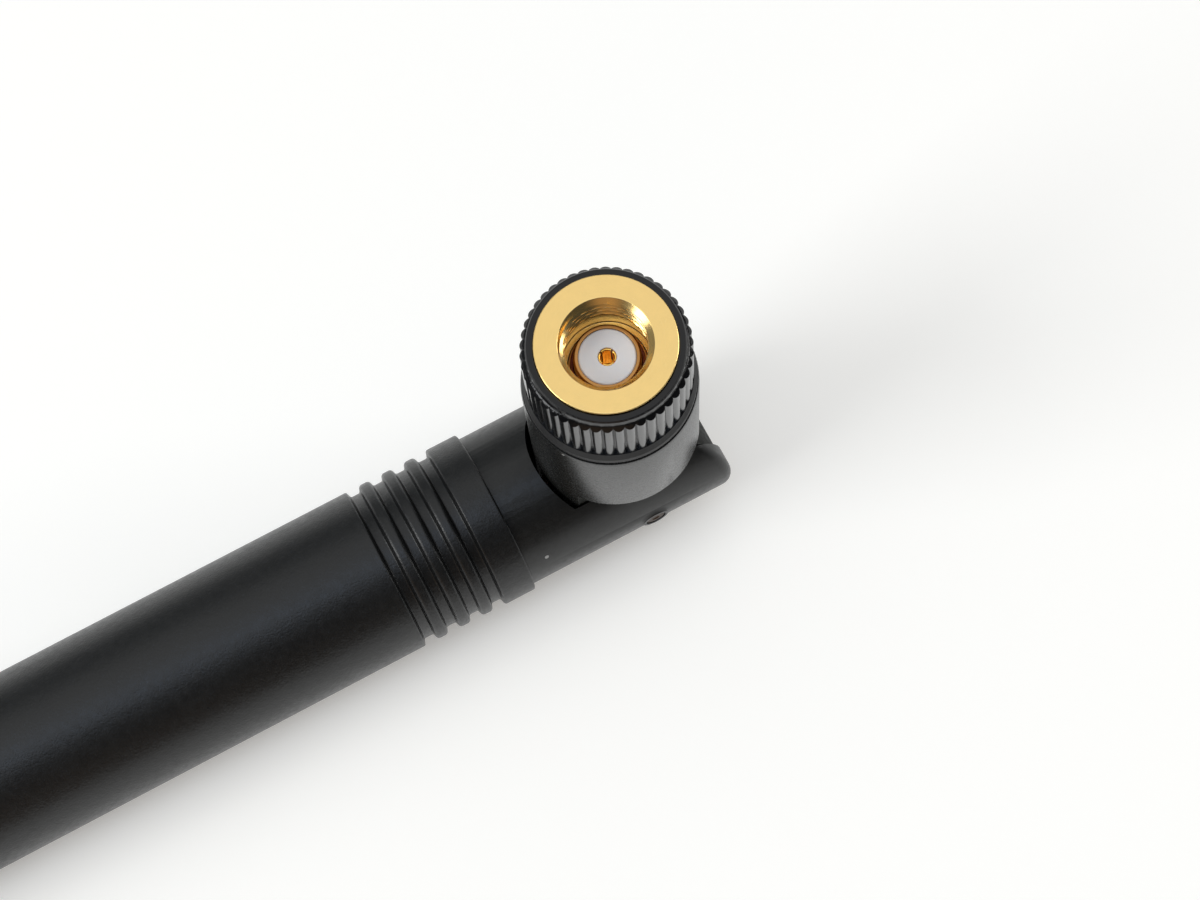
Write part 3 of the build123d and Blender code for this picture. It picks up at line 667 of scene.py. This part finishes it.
class ANTENNA_OT_elbow(bpy.types.Operator):
    """Make the elbow with its tongue"""
    bl_idname = "antenna.elbow"
    bl_label = "Elbow"

    def execute(self, context):
        size = context.scene.antenna_hinge
        colours = context.scene.antenna_finish
        dust = [((-5.33 * MM, -3.16 * MM, -8.31 * MM), 0.11 * MM)]
        finish = black_moulding("elbow_black", colours.elbow, grain=0.10 * MM,
                                depth=0.0022 * MM, low=0.24, high=0.30, specks=dust)
        # Painted shade: the tongue gets a darker, duller copy of the elbow's black, standing in for
        # the shade it sits in.
        shaded_tongue_finish = black_moulding("tongue_black", colours.tongue, grain=0.13 * MM,
                                depth=0.006 * MM, low=0.5, high=0.7, gloss=0.16)
        made = softened("elbow_housing", "elbow_moulding", "elbow", finish,
                        size.elbow_edge)
        # The flat top reaches out to the rim, so that the edge there is nearly sharp.
        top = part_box("elbow_housing")[1].z
        spots = spots_of(made)
        out = np.hypot(spots[:, 0], spots[:, 1])
        at_rim = (spots[:, 2] > top - 0.01 * MM) & (out > size.rim - size.rim_width)
        spots[at_rim, :2] *= (size.rim / out[at_rim])[:, None]
        # The tongue's end draws back towards the hinge by its slack times 3s^2 - 2s^3, where s
        # runs from 0 to 1 over the outer half of the tongue.
        share = np.clip((spots[:, 0] - size.draw_start) / size.draw_length, 0, 1)
        share = np.where(spots[:, 2] < -size.tongue_top, share * share * (3 - 2 * share), 0)
        spots[:, 0] -= size.slack * share
        put_spots(made, spots)
        # Faces below the tongue's top take that darker finish, painted shade on the tongue.
        made.data.materials.append(shaded_tongue_finish)
        middle = np.empty(len(made.data.polygons) * 3)
        made.data.polygons.foreach_get("center", middle)
        below = middle.reshape(-1, 3)[:, 2] < -size.tongue_top
        made.data.polygons.foreach_set("material_index", below.astype(np.int32))
        return {"FINISHED"}


class ANTENNA_OT_nut(bpy.types.Operator):
    """Make the gilt coupling nut with its fine inner thread"""
    bl_idname = "antenna.nut"
    bl_label = "Coupling nut"

    def execute(self, context):
        size = context.scene.antenna_plug
        fine, face_edge, rear_edge = 0.04 * MM, 0.07 * MM, 0.12 * MM
        # The threaded wall is a run of close rows, so that the groove can be cut into them.
        front = rounded([
            (size.minor, -size.thread_end, fine), (size.relief, -size.thread_end, fine),
            (size.relief, -size.relief_end, fine), (size.rear_bore, -size.relief_end, fine),
            (size.rear_bore, -size.nut_length, fine), (size.nut_body, -size.nut_length, rear_edge),
            (size.nut_body, -size.nut_face_thick, fine),
            (size.nut_face, -size.nut_face_thick, fine), (size.nut_face, 0.0, face_edge),
            (size.mouth, 0.0, fine), (size.minor, -size.mouth_depth, fine),
        ])
        inset = 0.1 * MM
        rows = np.linspace(-size.mouth_depth - inset, -size.thread_end + inset, 64)
        wall = np.stack([np.full_like(rows, size.minor), rows], axis=-1)
        radius, angle, height = turned(np.concatenate([front, wall]), around=216)
        # A thread is a groove whose middle climbs one pitch in a turn, its depth falling off
        # evenly from a flat root to a flat crest. Off is 0 at the groove's middle and 1 midway
        # to the next.
        root, crest = 0.14, 0.80
        turns = height / size.pitch - angle / (2 * math.pi)
        off = np.abs(turns - np.round(turns)) * 2
        share = np.clip((crest - off) / (crest - root), 0.0, 1.0)
        groove = size.minor + (size.major - size.minor) * share
        inside = (height > -size.thread_end - fine) & (radius < size.mouth)
        radius = np.where(inside, np.maximum(radius, groove), radius)
        finish = plated("gold_plating", context.scene.antenna_finish.gilt, 0.16, 0.3)
        shell = skin(points_of(radius, angle, height))
        piece("nut", [shell], "nut", finish, ("coupling_nut",))
        return {"FINISHED"}


class ANTENNA_OT_collar(bpy.types.Operator):
    """Make the black collar with its knurl of round ribs"""
    bl_idname = "antenna.collar"
    bl_label = "Knurled collar"

    def execute(self, context):
        size = context.scene.antenna_collar
        plug = context.scene.antenna_plug
        gap, fine, blunt = 0.02 * MM, 0.03 * MM, 0.05 * MM
        ring_top = -size.rear + size.ring_height
        front = rounded([
            (plug.nut_face + gap, -plug.nut_face_thick - gap, fine),
            (plug.nut_face + gap, -size.sink, blunt), (size.front, -size.sink, fine),
            (size.lip, -size.lip_depth, 0.04 * MM), (size.neck, -size.neck_depth, 0.02 * MM),
        ])[:-1]
        rear = rounded([
            (size.crest + gap, ring_top, blunt),
            (size.ring, ring_top - size.ring_cone, size.ring_edge),
            (size.ring, -size.rear, size.ring_edge),
            (size.rear_bore, -size.rear, blunt),
            (size.rear_bore, -plug.nut_length - gap, fine),
            (plug.nut_body + gap, -plug.nut_length - gap, fine),
            (plug.nut_body + gap, -plug.nut_face_thick - gap, fine),
        ])[1:]
        steps = size.ribs * 12
        angle = np.linspace(0, 2 * math.pi, steps, endpoint=False)[None]
        # A rib is a circle seen from the axis: r = c cos t + sqrt(a^2 - c^2 sin^2 t), with c the
        # radius of its centre, a its own radius and t the angle from its middle.
        pitch = 2 * math.pi / size.ribs
        t = angle - np.round(angle / pitch) * pitch
        centre = size.crest - size.rib_radius
        rib = centre * np.cos(t) + np.sqrt(size.rib_radius ** 2 - (centre * np.sin(t)) ** 2)
        # Its front end is cut off at 45 degrees from the foot of the lip, so every column has
        # the same rows: along the cut, then down the rib to the ring.
        cut_end = -size.neck_depth - (rib - size.neck)
        along = np.array([0.08, 0.5, 0.92, 1.0])[:, None]
        cut = size.neck + along * (rib - size.neck)
        cut_height = -size.neck_depth + along * (cut_end + size.neck_depth)
        down = np.array([0.02, 0.5, 0.98, 1.0])[:, None]
        rib_height = cut_end + down * (ring_top - cut_end)
        radius = np.concatenate([
            np.repeat(front[:, :1], steps, axis=1), cut, np.repeat(rib, 4, axis=0),
            np.repeat(rear[:, :1], steps, axis=1),
        ])
        height = np.concatenate([
            np.repeat(front[:, 1:], steps, axis=1), cut_height, rib_height,
            np.repeat(rear[:, 1:], steps, axis=1),
        ])
        finish = gloss_black("collar_black", context.scene.antenna_finish.collar, ring_top)
        shell = skin(points_of(radius, angle, height))
        piece("collar", [shell], "nut", finish, ("knurled_collar",), sharp=28.0)
        return {"FINISHED"}


class ANTENNA_OT_plug(bpy.types.Operator):
    """Make the plug's barrel, insulator, contact and gasket"""
    bl_idname = "antenna.plug"
    bl_label = "Plug core"

    def execute(self, context):
        size = context.scene.antenna_plug
        colours = context.scene.antenna_finish
        fine, blunt, soft = 0.03 * MM, 0.05 * MM, 0.14 * MM
        under_nut, round_contact, round_barrel = 0.1 * MM, 0.01 * MM, 0.02 * MM
        # Each piece is its half section, in radius and height, turned about the plug's axis.
        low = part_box("plug_body")[0].z
        shank_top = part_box("elbow_housing")[1].z
        flange_top = -size.nut_length - under_nut
        shank_end = shank_top - size.shank_length
        outline = rounded([
            (size.barrel_bore, -size.recess, fine),
            (size.barrel - size.barrel_chamfer, -size.recess, fine),
            (size.barrel, -size.recess - size.barrel_chamfer, 0.06 * MM),
            (size.barrel, -size.step, fine), (size.shoulder, -size.step, fine),
            (size.shoulder, flange_top, fine), (size.flange, flange_top, fine),
            (size.flange, shank_top, fine), (size.shank, shank_top, fine),
            (size.shank, shank_end, fine), (size.tail, shank_end, fine), (size.tail, low, fine),
            (size.tail_bore, low, fine), (size.tail_bore, -size.pocket, fine),
            (size.barrel_bore, -size.pocket, fine),
        ])
        shell = skin(points_of(*turned(outline, around=128)))
        # Painted shade: the barrel's darker brown stands in for shade and warm reflections deep in
        # the nut's bore.
        barrel_plating_shaded = plated("barrel_bronze", colours.barrel, 0.22, 0.4)
        piece("barrel", [shell], "elbow", barrel_plating_shaded, ("plug_body",))

        bead_low, bead_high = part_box("dielectric_bead")
        hole = size.contact + round_contact
        outline = rounded([
            (hole, bead_high.z, blunt), (bead_high.x, bead_high.z, soft),
            (bead_high.x, bead_low.z, blunt), (hole, bead_low.z, blunt),
        ])
        shell = skin(points_of(*turned(outline, around=128)))
        white = waxy_white("bead_white", colours.insulator)
        piece("bead", [shell], "elbow", white, ("dielectric_bead",))
        dress("feed_bead", white)
        self.contact(size, colours, fine)

        seal_low, seal_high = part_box("sealing_gasket")
        inner = size.barrel + round_barrel
        outline = rounded([
            (inner, seal_low.z, 0.08 * MM), (seal_high.x, seal_low.z, 0.08 * MM),
            (seal_high.x, seal_high.z, soft), (inner, seal_high.z, soft),
        ])
        shell = skin(points_of(*turned(outline, around=96)))
        red = soft_plastic("gasket_red", colours.gasket, 0.5, size=0.12 * MM)
        piece("gasket", [shell], "elbow", red, ("sealing_gasket",))
        return {"FINISHED"}

    def contact(self, size, colours, fine):
        """A turned rear and four fingers: a quarter each, less half a slit's width at each side."""
        low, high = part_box("centre_contact")
        root = high.z - size.fingers
        bottom = high.z - size.contact_hole
        rear = rounded([
            (0.0, low.z, 0.0), (size.contact, low.z, fine), (size.contact, root, fine),
            (size.contact_bore, root, fine), (size.contact_bore, bottom, fine),
            (0.0, bottom, 0.0),
        ], closed=False)
        shells = [skin(points_of(*turned(rear, around=64)), closed_rows=False)]
        foot = root - 0.02 * MM
        finger = rounded([
            (size.contact_bore, foot, 0.01 * MM), (size.contact, foot, 0.01 * MM),
            (size.contact, high.z, 0.07 * MM), (size.contact_bore, high.z, 0.08 * MM),
        ])
        spread = np.linspace(0, 1, 14)[None]
        start = np.arcsin(size.slit / 2 / finger[:, :1])
        first = 0.3
        for quarter in range(4):
            angle = start + spread * (math.pi / 2 - 2 * start) + (quarter + first) * math.pi / 2
            grid = points_of(finger[:, :1] + 0 * angle, angle, finger[:, 1:] + 0 * angle)
            shells.append(skin(grid, closed_columns=False, capped=True))
        # Painted reflection: this gold is made more orange than the nut's to show the warm bounce
        # light inside the hole.
        gilt = plated("contact_gold", colours.contact, 0.12, 0.22)
        piece("contact", shells, "elbow", gilt, ("centre_contact",))


class ANTENNA_OT_inside(bpy.types.Operator):
    """Make the cable and the radiator, and finish the other hidden pieces"""
    bl_idname = "antenna.inside"
    bl_label = "Inside pieces"

    def execute(self, context):
        colours = context.scene.antenna_finish
        self.cable(colours)
        self.radiator(colours)
        dress("choke_sleeve", plain_metal("sleeve_brass", colours.sleeve, 0.25, 0.4))
        dress("crimp_ferrule", plain_metal("ferrule_nickel", colours.ferrule, 0.3, 0.45))
        dress("snap_ring", plain_metal("spring_steel", colours.spring, 0.3, 0.45))
        foam = soft_plastic("spacer_foam", colours.foam, 0.8, size=0.5 * MM, depth=0.08 * MM)
        dress("lower_spacer", foam)
        dress("tip_spacer", foam)
        dress("heat_shrink", soft_plastic("shrink_black", colours.shrink, 0.5))
        return {"FINISHED"}

    def cable(self, colours):
        """The coaxial cable, a tube that changes its radius where the jacket and the core end.

        It is straight in the mast, makes a quarter turn at the hinge and rises to the contact.
        """
        low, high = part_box("coax_elbow")
        radius, core, wire = high.x, 0.35 * MM, 0.15 * MM
        sleeve_wall, in_tail, step = 0.4 * MM, 1.75 * MM, 0.001 * MM
        bend = low.z - HINGE_Z
        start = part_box("coax_mast")[0].x
        jacket_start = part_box("choke_sleeve")[0].x + sleeve_wall
        run = np.linspace(jacket_start, -bend, 60)
        lying = np.stack([run, 0 * run, 0 * run + HINGE_Z], axis=-1)
        turn = np.linspace(0, math.pi / 2, 25)[1:-1]
        arc = np.stack([-bend + bend * np.sin(turn), 0 * turn,
                        HINGE_Z + bend - bend * np.cos(turn)], axis=-1)
        jacket_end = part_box("plug_body")[0].z + in_tail
        rise = np.linspace(low.z, jacket_end, 12)
        upright = np.stack([0 * rise, 0 * rise, rise], axis=-1)
        core_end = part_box("centre_contact")[0].z
        front = np.array([[start, 0, HINGE_Z], [jacket_start - step, 0, HINGE_Z]])
        back = np.array([[0, 0, jacket_end + step], [0, 0, core_end],
                         [0, 0, core_end + step], [0, 0, high.z]])
        path = np.concatenate([front, lying, arc, upright, back])
        middle = len(lying) + len(arc) + len(upright)
        radii = np.array([core] * 2 + [radius] * middle + [core] * 2 + [wire] * 2)
        shell = skin(tube_along(path, radii), closed_rows=False)
        brown = soft_plastic("coax_jacket", colours.jacket, 0.35, size=0.4 * MM,
                             depth=0.004 * MM)
        made = piece("cable", [shell], None, brown, ("coax_elbow", "coax_mast"))
        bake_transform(made)

    def radiator(self, colours):
        """The copper wire: straight, a coil of four turns about the mast's axis, straight."""
        low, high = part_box("radiator_wire")
        radius = 0.45 * MM
        coil_r, turns, pitch = 2.0 * MM, 4, 1.9 * MM
        coil_start = 105.0 * MM
        coil_end = coil_start + turns * pitch
        a = np.linspace(0, 2 * math.pi * turns, turns * 32 + 1)
        climb = coil_start + pitch * a / (2 * math.pi)
        coil = np.stack([coil_r * np.cos(a), coil_r * np.sin(a), climb], axis=-1)
        straight, bent, aside = 1.2 * MM, 0.5 * MM, 0.3 * MM
        before = np.array([[0, 0, -high.x], [0, 0, coil_start - straight],
                           [aside, 0, coil_start - bent]])
        after = np.array([[aside, 0, coil_end + bent], [0, 0, coil_end + straight],
                          [0, 0, -low.x]])
        path = along_mast(np.concatenate([before, coil, after]))
        shell = skin(tube_along(path, np.full(len(path), radius), around=14), closed_rows=False)
        copper = plain_metal("radiator_copper", colours.copper, 0.25, 0.4)
        piece("radiator", [shell], "mast", copper, ("radiator_wire",))


class ANTENNA_OT_stage(bpy.types.Operator):
    """Set the pale floor, the soft lights and the camera"""
    bl_idname = "antenna.stage"
    bl_label = "Stage"

    def execute(self, context):
        scene = context.scene
        self.floor(scene)
        self.world(scene)
        self.lamp("window", (-0.70, 0.06, 0.48), (0.50, 0.40), 3.5, (0.97, 0.99, 1.0))
        self.lamp("fill", (0.74, -0.12, 0.42), (0.45, 0.35), 2.2, (1.0, 0.99, 0.97))
        self.camera(scene)
        scene.view_settings.view_transform = "Standard"
        return {"FINISHED"}

    def floor(self, scene):
        """A wide flat sheet under the antenna, white to the camera except where it is in shadow."""
        reach = 3.0
        seen_glow, mirrored_glow = (0.285, 0.28, 0.27), (0.36, 0.36, 0.355)
        mesh = bpy.data.meshes.new("floor")
        square = [(-reach, -reach), (reach, -reach), (reach, reach), (-reach, reach)]
        mesh.from_pydata([(x, y, FLOOR_Z) for x, y in square], [], [(0, 1, 2, 3)])
        finish = Finish("floor_white")
        paper = finish.noise(1.5 * MM, 3.0)
        seen = finish.add("ShaderNodeLightPath", out="Is Camera Ray")
        mirrored = Socket(finish, seen.output.node.outputs["Is Glossy Ray"])
        shade = scene.antenna_finish.floor
        tone = finish.blend(paper, [0.99 * c for c in shade], shade)
        glow = finish.blend(seen, (0.0, 0.0, 0.0), seen_glow)
        glow = finish.blend(mirrored, glow, mirrored_glow)
        mesh.materials.append(finish.surface(Base_Color=tone, Roughness=0.85, Emission_Color=glow,
                                             Emission_Strength=1.0, Specular_IOR_Level=0.1))
        made = bpy.data.objects.new("floor", mesh)
        scene.collection.objects.link(made)

    def world(self, scene):
        """A room that is white to the camera. Its light is brightest overhead.

        It is grey behind the antenna, darker in front of it, and warm at the front left.
        """
        dark, grey, brown = (0.055, 0.058, 0.06), (0.21, 0.225, 0.23), (0.40, 0.27, 0.17)
        pale, bluish = (0.88, 0.89, 0.89), (1.5, 1.8, 2.3)
        world = bpy.data.worlds.new("room")
        world.use_nodes = True
        world.node_tree.nodes.clear()
        scene.world = world
        room = Shader(world.node_tree)
        place = room.add("ShaderNodeTexCoord", out="Generated")
        # The bright ceiling is an arch over X: its directions are drawn in to the YZ plane first.
        drawn = room.add("ShaderNodeVectorMath", {0: place, 1: (0.4, 1.0, 1.0)},
                         operation="MULTIPLY")
        drawn = room.add("ShaderNodeVectorMath", {0: drawn}, operation="NORMALIZE")
        arch = self.facing(room, drawn, (0.05, 0.25, 0.967), 0.72, 0.93)
        far = self.facing(room, place, (0.0, 0.97, 0.24), 0.0, 0.9)
        warm = self.facing(room, place, (-0.5, -0.83, 0.25), 0.84, 0.97)
        pane = self.facing(room, place, (-0.08, -0.10, 0.992), 0.972, 0.992)
        tone = room.blend(far, dark, grey)
        tone = room.blend(warm, tone, brown)
        tone = room.blend(arch, tone, pale)
        tone = room.blend(pane, tone, bluish)
        light = room.add("ShaderNodeBackground", {"Color": tone})
        white = room.add("ShaderNodeBackground", {"Color": (1.0, 1.0, 0.99, 1.0)})
        seen = room.add("ShaderNodeLightPath", out="Is Camera Ray")
        mixed = room.add("ShaderNodeMixShader", {0: seen, 1: light, 2: white})
        room.add("ShaderNodeOutputWorld", {"Surface": mixed})

    def facing(self, room, place, ahead, low, high):
        """How far one direction turns to another: 0 at the low cosine, 1 at the high one."""
        near = room.add("ShaderNodeVectorMath", {0: place, 1: ahead}, out="Value",
                        operation="DOT_PRODUCT")
        return room.add("ShaderNodeMapRange", {"Value": near, "From Min": low, "From Max": high},
                        interpolation_type="SMOOTHSTEP")

    def lamp(self, name, place, size, watts, tint):
        """A soft rectangular lamp that faces the hinge."""
        data = bpy.data.lights.new(name, "AREA")
        data.shape = "RECTANGLE"
        data.size, data.size_y = size
        data.energy = watts
        data.color = tint
        made = bpy.data.objects.new(name, data)
        bpy.context.scene.collection.objects.link(made)
        back = np.array(place) - np.array([0.0, 0.0, HINGE_Z])
        made.matrix_world = looking(place, back, (0, 1, 0))

    def camera(self, scene):
        """The photograph's camera: 189 mm from the nut's face and turned a little on its axis.

        Its focal length is known in pixels of a picture 1200 wide.
        """
        azimuth, elevation, roll = (math.radians(v) for v in (-20.879, 74.075, -7.417))
        focal, width, sensor = 2843.107, 1200, 36.0
        back = np.array([math.cos(elevation) * math.sin(azimuth),
                         -math.cos(elevation) * math.cos(azimuth), math.sin(elevation)])
        data = bpy.data.cameras.new("camera")
        data.sensor_fit = "HORIZONTAL"
        data.sensor_width = sensor
        data.lens = focal / width * sensor
        data.clip_start = 0.005
        made = bpy.data.objects.new("camera", data)
        scene.collection.objects.link(made)
        place = (-22.0155 * MM, -54.0852 * MM, 179.3245 * MM)
        made.matrix_world = looking(place, back, (0, 0, 1)) @ Matrix.Rotation(roll, 4, "Z")
        scene.camera = made


def looking(place, back, up):
    """The matrix of something at a place that looks against the direction back."""
    back = np.array(back, float) / np.linalg.norm(back)
    right = np.cross(up, back)
    right /= np.linalg.norm(right)
    above = np.cross(back, right)
    matrix = Matrix(np.column_stack([right, above, back]).tolist()).to_4x4()
    matrix.translation = place
    return matrix


class ANTENNA_PT_panel(bpy.types.Panel):
    """Lists the antenna's pieces and its sizes"""
    bl_idname = "ANTENNA_PT_panel"
    bl_label = "Antenna"
    bl_space_type = "VIEW_3D"
    bl_region_type = "UI"
    bl_category = "Antenna"

    def draw(self, context):
        for made in PIECES:
            self.layout.operator(made.bl_idname)
        for group, kind in GROUPS.items():
            box = self.layout.box()
            for name in kind.__annotations__:
                box.prop(getattr(context.scene, group), name)


PIECES = (ANTENNA_OT_mast, ANTENNA_OT_yoke, ANTENNA_OT_elbow, ANTENNA_OT_nut, ANTENNA_OT_collar,
          ANTENNA_OT_plug, ANTENNA_OT_inside, ANTENNA_OT_stage)
GROUPS = {"antenna_mast": MastSizes, "antenna_hinge": HingeSizes, "antenna_plug": PlugSizes,
          "antenna_collar": CollarSizes, "antenna_finish": Finishes}


def register():
    for kind in (*GROUPS.values(), *PIECES, ANTENNA_PT_panel):
        bpy.utils.register_class(kind)
    for group, kind in GROUPS.items():
        setattr(bpy.types.Scene, group, PointerProperty(type=kind))


def unregister():
    for group in GROUPS:
        delattr(bpy.types.Scene, group)
    for kind in reversed((*GROUPS.values(), *PIECES, ANTENNA_PT_panel)):
        bpy.utils.unregister_class(kind)


def main():
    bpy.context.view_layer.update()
    register()
    for made in PIECES:
        group, name = made.bl_idname.split(".")
        getattr(getattr(bpy.ops, group), name)()


if __name__ == "__main__":
    main()
